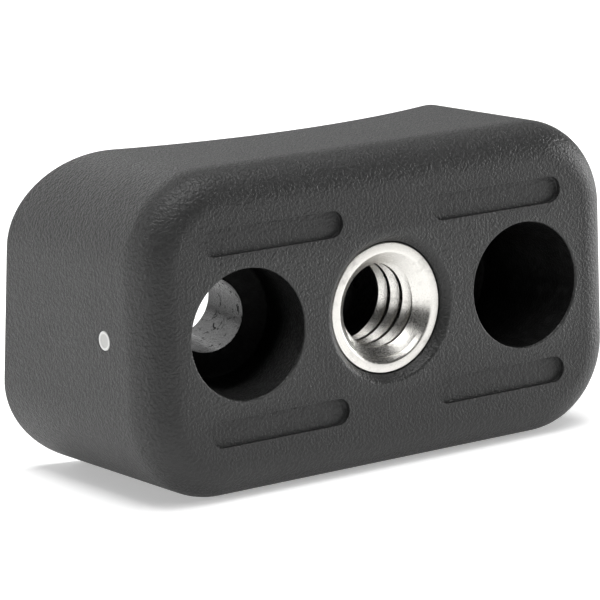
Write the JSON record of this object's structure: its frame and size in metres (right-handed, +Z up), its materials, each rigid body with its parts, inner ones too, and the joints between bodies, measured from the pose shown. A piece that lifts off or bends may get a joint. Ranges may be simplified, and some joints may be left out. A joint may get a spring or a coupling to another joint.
{
  "type": "mounting block",
  "caption": "Small moulded mounting block with a saddle back, a threaded steel insert in its face and leaning counterbored screw holes on each side.",
  "frame": {"origin": "middle of the bounding box on the bottom face, which the block rests on", "axes": "+Z up, +X along the length with the index pin in the -X end, -Y out of the front face with the insert, +Y out of the saddle back"},
  "size_m": [0.0358, 0.0172, 0.0202],
  "materials": {
    "moulded_polymer": "black glass-filled polymer with a fine spark-eroded grain",
    "insert_steel": "turned stainless steel, satin, with a bright faced rim",
    "pin_white": "off-white, smooth, slightly dished end"
  },
  "bodies": {
    "root": {"block_body": "moulded_polymer", "threaded_insert": "insert_steel", "index_pin": "pin_white"}
  },
  "joints": []
}
